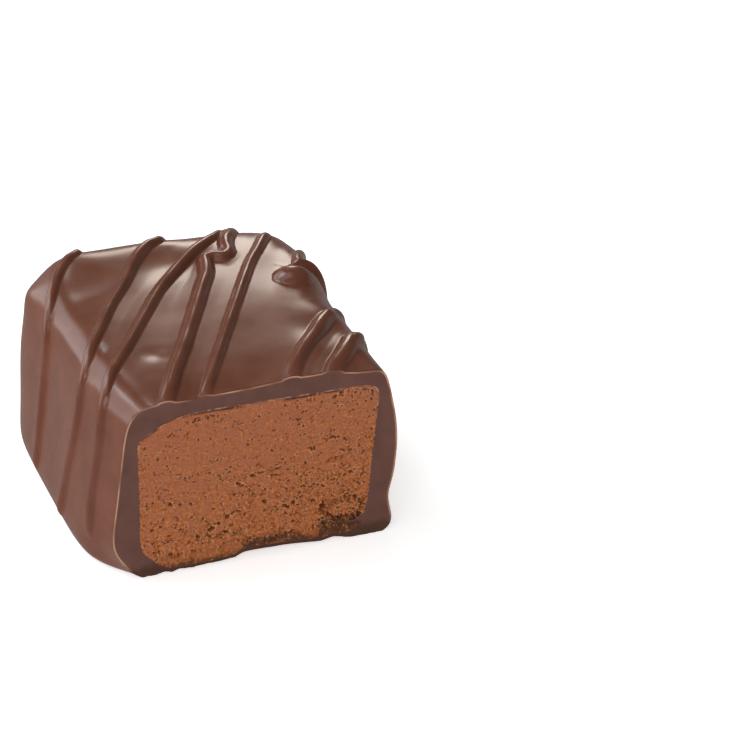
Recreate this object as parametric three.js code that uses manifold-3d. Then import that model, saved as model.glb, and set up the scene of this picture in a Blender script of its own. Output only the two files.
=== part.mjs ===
// A chocolate meltaway, cut through with a knife: a block of soft, crumbly chocolate centre in a thick coating
// of chocolate. Beads of the same chocolate are drizzled over the top and have run down the walls.
//
// Millimetres, +Z up. The cut face looks along -Y, and the origin is on the floor under the middle of the piece.
// The coating is one solid with its drizzle, open at the cut, and the centre fills it from the cut to the back.

import * as THREE from "three";
import { mergeVertices } from "three/addons/utils/BufferGeometryUtils.js";
import Module from "manifold-3d";

// ---- Driving dimensions ----

const CUT = -13.9; // the plane of the knife, as a value of y
const HEIGHT = 16.9; // top of the coating between the beads
const BACK = 13.7; // outside of the wall opposite the cut
const HALF_WIDTH = 12.75; // from the middle to the left or right wall, at half height
const SPARE = 6; // how far the whole block ran on past the cut, to where its other half began to round off
const FLAT = 0.4; // depth of the block's round underside that the floor flattened
const END_WALL = 2.1; // thickness of the coating opposite the cut
const GAP = 0.3; // between the coating and the centre
const BEDDED = 0.06; // what comes this close to the floor lies flat on it

// The coating's block before the cut: its middle, half its size, and how square its edges are. Higher is squarer.
const block = {
  middle: new THREE.Vector3(0.1, (BACK + CUT - SPARE) / 2, (HEIGHT - FLAT) / 2),
  half: new THREE.Vector3(HALF_WIDTH, (BACK - CUT + SPARE) / 2, (HEIGHT + FLAT) / 2),
  plan: 8, // the upright edges
  side: 8, // the shoulders over the left and right walls
  end: 14, // the shoulder over the back wall
  foot: 11, // the bottom edges
};
const LEAN_LEFT = 0.1; // how much the left wall leans in towards the top, as a share of the half width
const LEAN_RIGHT = 0.03; // and the right wall

// The soft centre's block before the cut, in the same way.
const centre = {
  middle: new THREE.Vector3(1.25, block.middle.y - END_WALL / 2, 8.2),
  half: new THREE.Vector3(10.7, block.half.y - END_WALL / 2, 6.95),
  plan: 9,
  side: 14,
  end: 14,
  foot: 9,
};
const CENTRE_TILT = 0.025; // fall of the centre's top towards the right, per mm
const CENTRE_LEAN = 0.1; // how much its right wall leans in towards the foot, per mm
const CENTRE_DROP = 1.5; // how much lower its top is at the left wall
const CENTRE_DROP_WIDTH = 2.9; // and how far from that wall the top begins to slope down to it

// Where the coating swells or sinks: the middle of the place, how far it reaches each way, and how far it moves.
const swells = [
  { at: [-12.5, -17, 8.5], reach: [6, 6.5, 40], push: [1.6, 0, 0] }, // left wall drawn in at the cut
  { at: [-12.5, -14.5, 0], reach: [5, 3, 2.4], push: [2.2, 0, 0] }, // and cut under at its foot
  { at: [-12.5, 13.5, 11], reach: [4, 5, 6.5], push: [-0.85, 0.4, 0] }, // full corner at the back left
  { at: [-11.6, 13.5, 17], reach: [2.1, 3.5, 2.4], push: [0.2, -0.3, -1.3] }, // sunk at its top
  { at: [-12.1, 13.5, 14.8], reach: [1.6, 3.5, 1.6], push: [-0.5, 0.2, 0.25] }, // and its edge
  { at: [-3.5, 12.5, 16.9], reach: [8, 5, 4], push: [0, 0.2, 0.42] }, // back edge a little high
  { at: [6, -1, 16.9], reach: [8, 7, 4], push: [0, 0, 0.22] }, // top domed towards its right
  { at: [8, 14, 16.9], reach: [5.5, 6, 4], push: [0, 0, -0.2] }, // and falling away behind
  { at: [-1, -15.5, 16.9], reach: [11, 4, 3], push: [0, 0, -0.38] }, // top drawn down at the cut
  { at: [-6, -14.5, 16.9], reach: [4.5, 4, 3], push: [0, 0, -0.22] }, // most of all by the left corner
  { at: [12.3, 5.7, 16], reach: [2.5, 5, 3], push: [0.35, 0, 0.25] }, // full shoulder on the right
  { at: [12.5, -1.2, 16.2], reach: [2, 3, 2.5], push: [-0.2, 0, -0.12] }, // drawn in before it
  { at: [13, -14, 10], reach: [4, 12, 4.5], push: [0.7, 0, 0] }, // belly of the right wall
  { at: [13, -14, 3.4], reach: [4, 14, 1.7], push: [-0.45, 0, 0] }, // and the waist below it
  { at: [9.9, -15, 16.9], reach: [2.4, 5, 3], push: [0, 0, -0.5] }, // hollow in the top, by the right corner
  { at: [12.9, -14.5, 16.9], reach: [1.4, 3, 2], push: [0.3, 0, 0.75] }, // lip of the right corner
  { at: [2.2, -15, 0], reach: [4.2, 5, 1.2], push: [0, 0, 0.66] }, // hollow under the cut
];

// The beads of drizzle. Each has its radius, how far its middle lies under the coating's surface, and the points
// that it passes, on or near that surface, in order. A bead that runs down a wall thins out and ends in it.
const beads = [
  // Leftmost line: up the left wall, across the back left corner and down the back.
  { radius: 0.52, sink: 0.14, points: [[-13.5, 3.7, 0.8], [-13.1, 4, 6], [-12.4, 4.3, 10.5], [-11.9, 4.7, 13.8],
    [-11.3, 5.6, 15.2], [-10.6, 7.2, 16.1], [-9.2, 10.1, 16.8], [-7.8, 12, 17], [-6.8, 13.1, 16.9],
    [-6.4, 14, 13], [-6.2, 14, 6.5]] },
  // Second and third lines, the full way over.
  { radius: 0.55, sink: 0.15, points: [[-13.6, -3.6, 0.5], [-13.1, -4.4, 5], [-12.5, -5.2, 9],
    [-12, -5.6, 12.5], [-11.2, -5.1, 15.4], [-9.6, -2.3, 16.6], [-6.4, 3.4, 17], [-4.3, 6.4, 17],
    [-2.9, 8.6, 17], [-0.5, 11.8, 17], [0.8, 13.2, 16.9], [1.4, 14, 12], [1.6, 14, 3.5]] },
  { radius: 0.56, sink: 0.14, points: [[-12.8, -10.4, 2.2], [-12.5, -10.1, 6], [-11.4, -10.2, 12.9],
    [-10.7, -9.6, 15.4], [-9.8, -8, 16.4], [-7.9, -5.1, 17], [-5.1, -0.9, 17], [-2.1, 3.7, 17], [0.5, 6.9, 17],
    [2.8, 9.5, 17], [5, 11.7, 17], [6.4, 13.2, 16.9], [7.3, 14, 14], [7.7, 14, 9], [7.8, 14, 2.5]] },
  // The line that hesitated: straight from the cut, then a double bend, and over the back edge.
  { radius: 0.7, sink: 0.2, points: [[-8.2, -16.6, 16.4], [-7.2, -14.7, 16.5], [-6.3, -12.8, 16.6],
    [-4.7, -9.6, 16.8], [-2.7, -5.8, 17], [-1, -2.4, 17], [0.2, 0, 17], [1.8, 3.3, 17], [2.7, 5.1, 17],
    [3.2, 6.8, 17], [3.5, 7.9, 17], [4.2, 8.2, 17], [5.3, 8, 17], [5.9, 8.7, 17], [6.1, 9.8, 17],
    [6.5, 11.2, 17], [7.3, 12.7, 16.9], [8, 13.8, 14.5], [8.2, 14, 11.5]] },
  // Straight line to the back right corner.
  { radius: 0.54, sink: 0.16, points: [[-4.9, -16.9, 16.6], [-3.8, -14.8, 16.7], [-2.7, -12.5, 16.8],
    [0.4, -6.6, 17], [3.8, -0.1, 17], [7.2, 6.3, 17], [8.5, 8.3, 17], [9.8, 10.5, 16.8], [10.9, 12.2, 16.2]] },
  // The two short, broad lines that end on the right shoulder, and the thin runs that carry on down the wall.
  { radius: 0.8, sink: 0.34, points: [[3, -16.7, 16.8], [4, -14.5, 16.8], [5.2, -11.9, 16.9], [6.4, -10, 16.9],
    [8.1, -7.7, 16.8], [10, -5.2, 16.7], [11.6, -3.6, 16.1]] },
  { radius: 0.42, sink: 0.18, points: [[9.2, -6, 16.8], [11.1, -3.8, 16.4], [12, -2.9, 14.9], [12.8, -1.6, 12],
    [13.1, -1.3, 8], [13.1, -1.2, 3.5]] },
  { radius: 1, sink: 0.48, points: [[5.8, -16.8, 16.3], [7, -14.8, 16.3], [8.1, -13, 16.4], [9.1, -11.5, 16.3],
    [10.1, -10.1, 16.3], [11.3, -8.6, 16.1], [12.4, -7.6, 14.8]] },
  { radius: 0.52, sink: 0.18, points: [[10.2, -10, 16.3], [12, -7.9, 15.6], [13, -7, 12.5], [13.4, -6.8, 8],
    [13.2, -6.7, 2.2]] },
  // The drop where the drizzle turned back on the top, and its two strands over the right edge.
  { radius: 1.6, sink: 0.8, points: [[7.2, 3.2, 16.9], [9.6, 2.4, 16.9], [12, 1.7, 16.5]] },
  { radius: 0.5, sink: 0.05, points: [[9.2, 3.3, 16.9], [10.2, 3.9, 16.9], [11.3, 4.7, 16.7], [12.1, 4.6, 16.1],
    [12.6, 3.9, 15], [12.8, 3.4, 12], [12.8, 3.2, 7]] },
  { radius: 0.52, sink: 0.14, points: [[10.4, 3.6, 16.8], [11, 5, 16.7], [11.8, 7, 16.3], [12.4, 8.2, 15],
    [12.8, 8.8, 12], [12.9, 9, 5]] },
];
const BEAD_SIDES = 8;
const BEAD_STEP = 1.2; // longest step along a bead
const TAIL = 2; // length over which a bead's end dives into the coating
const DIVE = 1.2; // how deep its very end lies there, in radii
const SEARCH_STEPS = 12; // tries at finding a point of the coating
const SEARCH_ARM = 0.05; // distance over which the way it faces there is taken
const COATING_CELL = 1.4; // size of the cells that the coating's outside is made of
const CENTRE_CELL = 2.4; // and the centre's

// ---- Shapes ----

// The point of a rounded block that lies in a given direction from its middle, relative to that middle.
function onRoundedBlock(direction, { half, plan, side, end, foot }) {
  const across = Math.abs(direction.x / half.x) ** plan;
  const along = Math.abs(direction.y / half.y) ** plan;
  const up = Math.abs(direction.z / half.z);
  const shoulder = THREE.MathUtils.lerp(side, end, along / (across + along + Number.EPSILON));
  const profile = direction.z > 0 ? shoulder : foot;
  return direction.clone().multiplyScalar(((across + along) ** (profile / plan) + up ** profile) ** (-1 / profile));
}

// A swell's strength at a point: 1 at its middle, fading smoothly to nothing.
const strength = (p, { at, reach }) =>
  Math.exp(-(((p.x - at[0]) / reach[0]) ** 2 + ((p.y - at[1]) / reach[1]) ** 2 + ((p.z - at[2]) / reach[2]) ** 2));

// The point of the coating's outside in a given direction from the block's middle.
function onCoating(direction) {
  const p = onRoundedBlock(direction, block);
  p.x *= 1 - ((p.x < 0 ? LEAN_LEFT : LEAN_RIGHT) * p.z) / block.half.z;
  p.add(block.middle);
  const pushes = swells.map((swell) => [strength(p, swell), swell.push]);
  p.z = Math.max(p.z, 0);
  for (const [amount, push] of pushes) p.add(new THREE.Vector3(...push).multiplyScalar(amount));
  if (p.z < BEDDED) p.z = 0;
  return p;
}

// The point of the soft centre's outside in a given direction, or of the space it fills, with a margin round it.
function onCentre(direction, margin) {
  const half = centre.half.clone().addScalar(margin);
  const p = onRoundedBlock(direction, { ...centre, half });
  if (p.x > 0) p.x += (CENTRE_LEAN * (p.z - half.z) * p.x) / half.x;
  if (p.z > 0) {
    const drop = CENTRE_DROP * Math.exp(-(((p.x + half.x) / CENTRE_DROP_WIDTH) ** 2));
    p.z -= ((CENTRE_TILT * (p.x + half.x / 2) + drop) * p.z) / half.z;
  }
  return p.add(centre.middle);
}

// A closed skin of square cells, each corner of a box moved to where place(direction) puts it.
function skin(half, cell, place) {
  const steps = half.toArray().map((size) => Math.round((2 * size) / cell));
  const geometry = new THREE.BoxGeometry(...half.clone().multiplyScalar(2).toArray(), ...steps);
  const position = geometry.attributes.position;
  const corner = new THREE.Vector3();
  for (let i = 0; i < position.count; i++) {
    corner.fromBufferAttribute(position, i);
    position.setXYZ(i, ...place(corner).toArray());
  }
  return geometry;
}

// The point of the coating's outside nearest to a given one, and the direction in which the coating faces there.
function layOnCoating(target) {
  const aim = target.clone().sub(block.middle);
  let point = onCoating(aim);
  for (let i = 0; i < SEARCH_STEPS; i++) {
    aim.add(target).sub(point);
    point = onCoating(aim);
  }
  const aside = new THREE.Vector3(-aim.y, aim.x, 0).setLength(SEARCH_ARM);
  const upward = aim.clone().cross(aside).setLength(SEARCH_ARM);
  const facing = onCoating(aim.clone().add(aside)).sub(point).cross(onCoating(aim.clone().add(upward)).sub(point));
  return { point, facing: facing.normalize() };
}

// The line that a bead's middle follows, laid along the coating through the bead's points.
function spineOf({ radius, sink, points }) {
  const laid = new THREE.CatmullRomCurve3(points.map((p) => layOnCoating(new THREE.Vector3(...p)).point));
  const length = laid.getLength();
  const steps = Math.ceil(length / BEAD_STEP);
  const spine = laid.getSpacedPoints(steps).map((p, i) => {
    const toEnd = (Math.min(i, steps - i) * length) / steps;
    const dive = radius * DIVE * Math.max(0, 1 - toEnd / TAIL) ** 2;
    const { point, facing } = layOnCoating(p);
    return point.addScaledVector(facing, -sink - dive);
  });
  return new THREE.CatmullRomCurve3(spine);
}

// One bead of drizzle: a round section drawn along its spine.
function bead(line) {
  const extrudePath = spineOf(line);
  const section = new THREE.Shape();
  for (let i = 0; i < BEAD_SIDES; i++) {
    const turn = (2 * Math.PI * i) / BEAD_SIDES;
    if (i) section.lineTo(line.radius * Math.cos(turn), line.radius * Math.sin(turn));
    else section.moveTo(line.radius, 0);
  }
  const steps = extrudePath.points.length - 1;
  return new THREE.ExtrudeGeometry(section, { steps, bevelEnabled: false, extrudePath });
}

// ---- Joining and cutting ----

const wasm = await Module();
wasm.setup();

function solid(geometry) {
  const plain = new THREE.BufferGeometry().setAttribute("position", geometry.getAttribute("position"));
  if (geometry.index) plain.setIndex(geometry.index);
  const merged = mergeVertices(plain, 1e-4);
  return new wasm.Manifold(new wasm.Mesh({
    numProp: 3,
    vertProperties: merged.attributes.position.array,
    triVerts: new Uint32Array(merged.index.array),
  }));
}

function geometryOf(manifold) {
  const { numProp, vertProperties, triVerts } = manifold.getMesh();
  const buffer = new THREE.InterleavedBuffer(vertProperties, numProp);
  const geometry = new THREE.BufferGeometry();
  geometry.setAttribute("position", new THREE.InterleavedBufferAttribute(buffer, 3, 0));
  geometry.setIndex(new THREE.BufferAttribute(triVerts, 1));
  return geometry;
}

const ROOM = 60; // size of the block that stands for the half that was cut away
const cutAway = solid(new THREE.BoxGeometry(ROOM, ROOM, ROOM).translate(0, CUT - ROOM / 2, 0));
const space = solid(skin(centre.half, CENTRE_CELL, (d) => onCentre(d, GAP)));

let whole = solid(skin(block.half, COATING_CELL, onCoating));
for (const line of beads) whole = whole.add(solid(bead(line)));
const coatingSolid = whole.subtract(space).subtract(cutAway);
const centreSolid = solid(skin(centre.half, CENTRE_CELL, (d) => onCentre(d, 0))).subtract(cutAway);

// ---- The piece ----

const coating = new THREE.Mesh(
  geometryOf(coatingSolid),
  new THREE.MeshStandardMaterial({ color: 0x5f3a2c, roughness: 0.32, metalness: 0 }),
);
coating.name = "coating";

const softCentre = new THREE.Mesh(
  geometryOf(centreSolid),
  new THREE.MeshStandardMaterial({ color: 0x9b5c3a, roughness: 0.85, metalness: 0 }),
);
softCentre.name = "meltaway_centre";

const meltaway = new THREE.Group();
meltaway.add(coating, softCentre);

export default meltaway;
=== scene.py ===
# A chocolate meltaway, cut through with a knife: a block of soft, crumbly chocolate centre in a thick coating
# of milk chocolate, with beads of the same chocolate drizzled over the top and down the walls.
import math
import random

import bmesh
import bpy
import numpy as np
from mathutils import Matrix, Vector, kdtree, noise


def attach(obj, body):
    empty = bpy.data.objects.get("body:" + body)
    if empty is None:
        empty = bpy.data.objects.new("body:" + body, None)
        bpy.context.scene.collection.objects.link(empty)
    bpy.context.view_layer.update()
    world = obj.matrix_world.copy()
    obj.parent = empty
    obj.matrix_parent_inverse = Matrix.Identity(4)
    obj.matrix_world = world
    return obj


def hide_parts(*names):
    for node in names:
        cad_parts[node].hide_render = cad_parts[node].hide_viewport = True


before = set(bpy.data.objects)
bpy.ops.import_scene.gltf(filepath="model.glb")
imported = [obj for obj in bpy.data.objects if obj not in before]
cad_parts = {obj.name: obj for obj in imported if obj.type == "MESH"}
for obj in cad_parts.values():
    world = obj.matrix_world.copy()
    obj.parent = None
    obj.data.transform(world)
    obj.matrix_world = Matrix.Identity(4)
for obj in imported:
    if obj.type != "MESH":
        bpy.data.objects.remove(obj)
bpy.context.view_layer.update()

# ---- Camera ----
# A long lens, looking down on the cut and the left wall. The piece stands left of the middle of the picture.

MM = 0.001
CAMERA_PLACE = Vector((-78.595, -261.239, 167.55)) * MM
CAMERA_DOWN = 30  # degrees below the horizon
CAMERA_ROUND = -20  # degrees from facing the cut squarely
LENS = 174.24
SENSOR = 36
NEAREST = 0.01  # what the camera can see, in metres away from it
FARTHEST = 20

camera_data = bpy.data.cameras.new("camera")
camera_data.lens = LENS
camera_data.sensor_width = SENSOR
camera_data.clip_start = NEAREST
camera_data.clip_end = FARTHEST
camera = bpy.data.objects.new("camera", camera_data)
camera.location = CAMERA_PLACE
camera.rotation_euler = (math.radians(90 - CAMERA_DOWN), 0, math.radians(CAMERA_ROUND))
bpy.context.scene.collection.objects.link(camera)
bpy.context.scene.camera = camera

# ---- Studio ----
# A white table that runs on out of sight, a dim room that is lightest near the horizon, and soft boxes. The
# glossy coating shows the boxes and the room in its top and shoulders, and the table in its walls.

TABLE_SIZE = 6
TABLE_DROP = 0.02 * MM
TABLE_WHITE = (0.9, 0.9, 0.9, 1)
TABLE_ROUGHNESS = 0.9
TABLE_SPECULAR = 0.1
TABLE_GLOW = 0.62  # what the table adds of its own light, so that it stays white in the picture
TABLE_TINT_IN_GLOSS = (1, 0.97, 0.95, 1)
TABLE_SEEN_IN_GLOSS = 0.3  # brightness of the table where the coating mirrors it

bpy.context.scene.view_settings.view_transform = "Standard"

table_mesh = bpy.data.meshes.new("table")
bm = bmesh.new()
bmesh.ops.create_grid(bm, x_segments=1, y_segments=1, size=TABLE_SIZE / 2)
bmesh.ops.translate(bm, vec=(0, 0, -TABLE_DROP), verts=bm.verts)
bm.to_mesh(table_mesh)
bm.free()
table = bpy.data.objects.new("table", table_mesh)
bpy.context.scene.collection.objects.link(table)
white = bpy.data.materials.new("white_table")
white.use_nodes = True
nodes = white.node_tree.nodes
links = white.node_tree.links
matt = nodes["Principled BSDF"]
matt.inputs["Base Color"].default_value = TABLE_WHITE
matt.inputs["Roughness"].default_value = TABLE_ROUGHNESS
matt.inputs["Specular IOR Level"].default_value = TABLE_SPECULAR
matt.inputs["Emission Color"].default_value = (1, 1, 1, 1)
matt.inputs["Emission Strength"].default_value = TABLE_GLOW
mirrored = nodes.new("ShaderNodeEmission")
mirrored.inputs["Color"].default_value = TABLE_TINT_IN_GLOSS
mirrored.inputs["Strength"].default_value = TABLE_SEEN_IN_GLOSS
ray = nodes.new("ShaderNodeLightPath")
choose = nodes.new("ShaderNodeMixShader")
links.new(ray.outputs["Is Glossy Ray"], choose.inputs["Fac"])
links.new(matt.outputs["BSDF"], choose.inputs[1])
links.new(mirrored.outputs["Emission"], choose.inputs[2])
links.new(choose.outputs["Shader"], nodes["Material Output"].inputs["Surface"])
table_mesh.materials.append(white)


def colour_steps(nodes, steps):
    """A ramp node with the given (place, colour) steps."""
    ramp = nodes.new("ShaderNodeValToRGB")
    ramp.color_ramp.elements[0].position = steps[0][0]
    ramp.color_ramp.elements[0].color = steps[0][1]
    ramp.color_ramp.elements[1].position = steps[-1][0]
    ramp.color_ramp.elements[1].color = steps[-1][1]
    for place, colour in steps[1:-1]:
        ramp.color_ramp.elements.new(place).color = colour
    return ramp


# The room's own light by height: the steps run from the horizon, at 0, to overhead, at 1.
ROOM_LIGHT = [
    (0.0, (0.4, 0.39, 0.385, 1)),
    (0.12, (0.25, 0.245, 0.24, 1)),
    (0.3, (0.08, 0.075, 0.07, 1)),
    (1.0, (0.1, 0.1, 0.1, 1)),
]
ROOM_STRENGTH = 1.0

world = bpy.data.worlds.new("studio")
bpy.context.scene.world = world
world.use_nodes = True
nodes = world.node_tree.nodes
links = world.node_tree.links
where = nodes.new("ShaderNodeTexCoord")
height = nodes.new("ShaderNodeSeparateXYZ")
ramp = colour_steps(nodes, ROOM_LIGHT)
links.new(where.outputs["Generated"], height.inputs[0])
links.new(height.outputs["Z"], ramp.inputs["Fac"])
links.new(ramp.outputs["Color"], nodes["Background"].inputs["Color"])
nodes["Background"].inputs["Strength"].default_value = ROOM_STRENGTH


def soft_box(name, round_about, up, away, width, height, brightness, tint=(1, 1, 1)):
    """A box of light facing the piece: angles in degrees as the camera's, distance and sizes in metres."""
    lamp = bpy.data.lights.new(name, "AREA")
    lamp.shape = "RECTANGLE"
    lamp.size = width
    lamp.size_y = height
    lamp.energy = brightness * math.pi * width * height
    lamp.color = tint
    box = bpy.data.objects.new(name, lamp)
    turn = math.radians(round_about)
    rise = math.radians(up)
    outwards = Vector((math.sin(turn) * math.cos(rise), -math.cos(turn) * math.cos(rise), math.sin(rise)))
    box.location = outwards * away
    box.rotation_euler = outwards.to_track_quat("Z", "Y").to_euler()
    bpy.context.scene.collection.objects.link(box)


soft_box("back_box", 161, 22, 0.6, 0.12, 0.12, 7.2, (1, 0.9, 0.8))
soft_box("spark", 176, 38, 0.6, 0.04, 0.04, 8)
soft_box("high_box", -140, 52, 0.5, 0.18, 0.18, 5.0)
soft_box("overhead_box", -100, 72, 0.5, 0.34, 0.34, 1.6)
soft_box("left_fill", -132, 20, 0.6, 0.7, 0.6, 1.85, (0.95, 0.97, 1))
soft_box("front_fill", -25, 36, 0.7, 0.5, 0.4, 2.4)

# ---- Coating, with its drizzle ----
# Milk chocolate that was poured over the soft centre, set to a skin 2 to 3 mm thick, glossy outside and matt
# where the knife went through. The drizzle was trailed over it while warm and is one with it.

# All sizes and places are in millimetres, in the frame's axes, up to where the finished mesh is scaled.
CUT = -13.9
HEIGHT = 16.9
BACK = 13.7
HALF_WIDTH = 12.75
SPARE = 6  # the whole piece ran on past the cut
FLAT = 0.4  # the block runs on this far below the table, and what lies there is flattened to it
END_WALL = 2.1  # thickness of the coating at the back

BLOCK_MIDDLE = np.array((0.1, (BACK + CUT - SPARE) / 2, (HEIGHT - FLAT) / 2))
BLOCK_HALF = np.array((HALF_WIDTH, (BACK - CUT + SPARE) / 2, (HEIGHT + FLAT) / 2))
BLOCK_EDGES = {"plan": 8, "side": 8, "end": 14, "foot": 11}  # how square the edges are: 2 is quite round
LEAN_LEFT = 0.1  # how far the wall leans in at the top, as a share of its distance from the middle
LEAN_RIGHT = 0.03
BEDDED = 0.06  # what comes this close to the table lies flat on it

# Where the coating swells or sinks: the middle of each place, its reach each way, and how far it moves.
SWELLS = [
    ((-12.5, -17, 8.5), (6, 6.5, 40), (1.6, 0, 0)),  # left wall drawn in at the cut
    ((-12.5, -14.5, 0), (5, 3, 2.4), (2.2, 0, 0)),  # and cut under at its foot
    ((-12.5, 13.5, 11), (4, 5, 6.5), (-0.85, 0.4, 0)),  # full corner at the back left
    ((-11.6, 13.5, 17), (2.1, 3.5, 2.4), (0.2, -0.3, -1.3)),  # sunk at its top
    ((-12.1, 13.5, 14.8), (1.6, 3.5, 1.6), (-0.5, 0.2, 0.25)),  # and its edge
    ((-3.5, 12.5, 16.9), (8, 5, 4), (0, 0.2, 0.42)),  # back edge a little high
    ((6, -1, 16.9), (8, 7, 4), (0, 0, 0.22)),  # top domed towards its right
    ((8, 14, 16.9), (5.5, 6, 4), (0, 0, -0.2)),  # and falling away behind
    ((-1, -15.5, 16.9), (11, 4, 3), (0, 0, -0.38)),  # top drawn down at the cut
    ((-6, -14.5, 16.9), (4.5, 4, 3), (0, 0, -0.22)),  # most of all by the left corner
    ((12.3, 5.7, 16), (2.5, 5, 3), (0.35, 0, 0.25)),  # full shoulder on the right
    ((12.5, -1.2, 16.2), (2, 3, 2.5), (-0.2, 0, -0.12)),  # drawn in before it
    ((13, -14, 10), (4, 12, 4.5), (0.7, 0, 0)),  # belly of the right wall
    ((13, -14, 3.4), (4, 14, 1.7), (-0.45, 0, 0)),  # and the waist below it
    ((9.9, -15, 16.9), (2.4, 5, 3), (0, 0, -0.5)),  # hollow in the top, by the right corner
    ((12.9, -14.5, 16.9), (1.4, 3, 2), (0.3, 0, 0.75)),  # lip of the right corner
    ((2.2, -15, 0), (4.2, 5, 1.2), (0, 0, 0.66)),  # hollow under the cut
]

TINY = 1e-9


def on_rounded_block(direction, half, plan, side, end, foot):
    """The points of a rounded block that lie in given directions from its middle."""
    share = np.abs(direction / half)
    across = share[:, 0] ** plan
    along = share[:, 1] ** plan
    shoulder = side + (end - side) * along / (across + along + TINY)
    profile = np.where(direction[:, 2] > 0, shoulder, foot)
    reach = ((across + along) ** (profile / plan) + share[:, 2] ** profile + TINY) ** (-1 / profile)
    return direction * reach[:, None]


def on_coating(direction):
    """The points of the coating's outside, bare of drizzle, in given directions from the block's middle."""
    p = on_rounded_block(direction, BLOCK_HALF, **BLOCK_EDGES)
    lean = np.where(p[:, 0] < 0, LEAN_LEFT, LEAN_RIGHT)
    p[:, 0] *= 1 - lean * p[:, 2] / BLOCK_HALF[2]
    p += BLOCK_MIDDLE
    amounts = [np.exp(-(((p - at) / reach) ** 2).sum(1)) for at, reach, push in SWELLS]
    p[:, 2] = np.maximum(p[:, 2], 0)
    for amount, (at, reach, push) in zip(amounts, SWELLS):
        p += amount[:, None] * np.array(push)
    p[p[:, 2] < BEDDED, 2] = 0
    return p


SEARCH_STEPS = 12


def lay_on_coating(targets):
    """The points of the coating's outside nearest to given ones."""
    aim = targets - BLOCK_MIDDLE
    for _ in range(SEARCH_STEPS):
        aim = aim + targets - on_coating(aim)
    return on_coating(aim)


# The beads of drizzle: half thickness, how far the middle lies under the coating's surface, and the points
# that each passes.
BEADS = [
    # Leftmost line: up the left wall, across the back left corner and down the back.
    (0.52, 0.14, [(-13.5, 3.7, 0.8), (-13.1, 4, 6), (-12.4, 4.3, 10.5), (-11.9, 4.7, 13.8),
                  (-11.3, 5.6, 15.2), (-10.6, 7.2, 16.1), (-9.2, 10.1, 16.8), (-7.8, 12, 17),
                  (-6.8, 13.1, 16.9), (-6.4, 14, 13), (-6.2, 14, 6.5)]),
    # Second and third lines, the full way over.
    (0.55, 0.15, [(-13.6, -3.6, 0.5), (-13.1, -4.4, 5), (-12.5, -5.2, 9), (-12, -5.6, 12.5),
                  (-11.2, -5.1, 15.4), (-9.6, -2.3, 16.6), (-6.4, 3.4, 17), (-4.3, 6.4, 17),
                  (-2.9, 8.6, 17), (-0.5, 11.8, 17), (0.8, 13.2, 16.9), (1.4, 14, 12), (1.6, 14, 3.5)]),
    (0.56, 0.14, [(-12.8, -10.4, 2.2), (-12.5, -10.1, 6), (-11.4, -10.2, 12.9), (-10.7, -9.6, 15.4),
                  (-9.8, -8, 16.4), (-7.9, -5.1, 17), (-5.1, -0.9, 17), (-2.1, 3.7, 17), (0.5, 6.9, 17),
                  (2.8, 9.5, 17), (5, 11.7, 17), (6.4, 13.2, 16.9), (7.3, 14, 14), (7.7, 14, 9),
                  (7.8, 14, 2.5)]),
    # The line that hesitated: straight from the cut, then a double bend, and over the back edge.
    (0.7, 0.2, [(-8.2, -16.6, 16.4), (-7.2, -14.7, 16.5), (-6.3, -12.8, 16.6), (-4.7, -9.6, 16.8),
                (-2.7, -5.8, 17), (-1, -2.4, 17), (0.2, 0, 17), (1.8, 3.3, 17), (2.7, 5.1, 17),
                (3.2, 6.8, 17), (3.5, 7.9, 17), (4.2, 8.2, 17), (5.3, 8, 17), (5.9, 8.7, 17),
                (6.1, 9.8, 17), (6.5, 11.2, 17), (7.3, 12.7, 16.9), (8, 13.8, 14.5), (8.2, 14, 11.5)]),
    # Straight line to the back right corner.
    (0.54, 0.16, [(-4.9, -16.9, 16.6), (-3.8, -14.8, 16.7), (-2.7, -12.5, 16.8), (0.4, -6.6, 17),
                  (3.8, -0.1, 17), (7.2, 6.3, 17), (8.5, 8.3, 17), (9.8, 10.5, 16.8),
                  (10.9, 12.2, 16.2)]),
    # The two short, broad lines that end on the right shoulder, and the thin runs on down the wall.
    (0.8, 0.34, [(3, -16.7, 16.8), (4, -14.5, 16.8), (5.2, -11.9, 16.9), (6.4, -10, 16.9),
                 (8.1, -7.7, 16.8), (10, -5.2, 16.7), (11.6, -3.6, 16.1)]),
    (0.42, 0.18, [(9.2, -6, 16.8), (11.1, -3.8, 16.4), (12, -2.9, 14.9), (12.8, -1.6, 12),
                  (13.1, -1.3, 8), (13.1, -1.2, 3.5)]),
    (1, 0.48, [(5.8, -16.8, 16.3), (7, -14.8, 16.3), (8.1, -13, 16.4), (9.1, -11.5, 16.3),
               (10.1, -10.1, 16.3), (11.3, -8.6, 16.1), (12.4, -7.6, 14.8)]),
    (0.52, 0.18, [(10.2, -10, 16.3), (12, -7.9, 15.6), (13, -7, 12.5), (13.4, -6.8, 8),
                  (13.2, -6.7, 2.2)]),
    # The drop where the drizzle turned back on the top, and its two strands over the right edge.
    (1.8, 0.88, [(7.6, 3, 16.9), (9.75, 2.3, 16.9), (11.9, 1.6, 16.5)]),
    (0.5, 0.05, [(9.2, 3.3, 16.9), (10.2, 3.9, 16.9), (11.3, 4.7, 16.7), (12.1, 4.6, 16.1),
                 (12.6, 3.9, 15), (12.8, 3.4, 12), (12.8, 3.2, 7)]),
    (0.52, 0.14, [(10.4, 3.6, 16.8), (11, 5, 16.7), (11.8, 7, 16.3), (12.4, 8.2, 15), (12.8, 8.8, 12),
                  (12.9, 9, 5)]),
]
TAIL = 2  # length over which a bead's end dives into the coating
DROP = 1.5  # a bead of more than this half thickness is a drop: a lens that dives from its middle on
DIVE = 1.2  # how deep its very end lies there, in half thicknesses
ROUTE_STEP = 0.07
UNEVEN_BEAD = 0.07  # how much a bead swells and thins along its length, as a share
UNEVEN_EVERY = 2.6


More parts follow.
